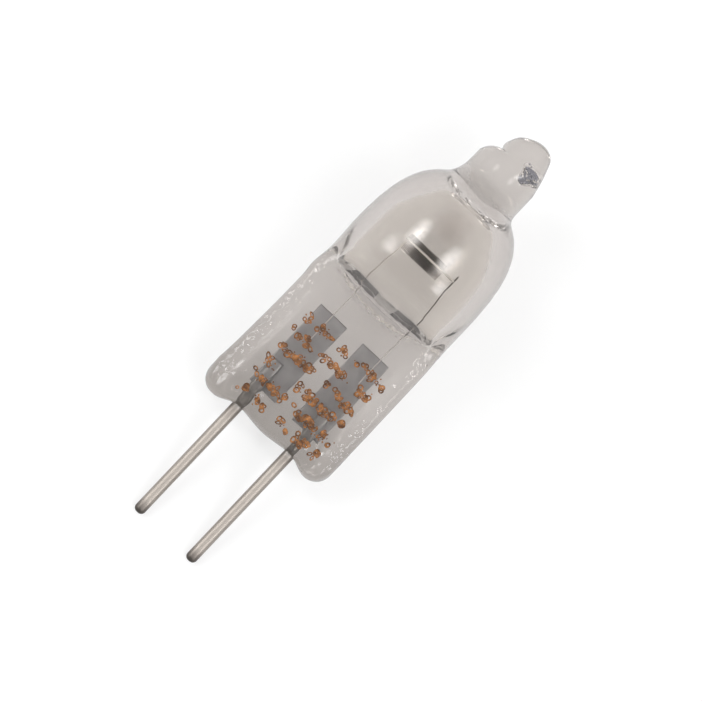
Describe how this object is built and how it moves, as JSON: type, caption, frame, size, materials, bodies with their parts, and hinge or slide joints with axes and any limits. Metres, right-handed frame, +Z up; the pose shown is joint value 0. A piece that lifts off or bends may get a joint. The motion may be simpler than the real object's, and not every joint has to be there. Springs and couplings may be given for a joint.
{
  "type": "oven light bulb",
  "caption": "Small clear quartz capsule bulb with a flat pressed seal, straight contact pins, an off-centre sealed tip and a fine coiled filament, pushed into a holder to light an oven.",
  "frame": {"origin": "on the surface that the lamp lies on, under the middle of its box", "axes": "+X along the lamp from the pins to the sealed tip, +Z up, with the front flat face of the seal turned up; the lamp rests on its pin ends and the belly of the bulb, so its own axis rises 11.4 degrees from the pins to the tip"},
  "size_m": [0.0302, 0.0091, 0.009],
  "materials": {
    "fused_quartz": "polished",
    "pin_wire": "satin",
    "seal_foil": "satin",
    "tungsten_wire": "satin"
  },
  "bodies": {
    "root": {"quartz_envelope": "fused_quartz", "contact_pin_left": "pin_wire", "contact_pin_right": "pin_wire", "seal_foil_left": "seal_foil", "seal_foil_right": "seal_foil", "filament": "tungsten_wire"}
  },
  "joints": []
}
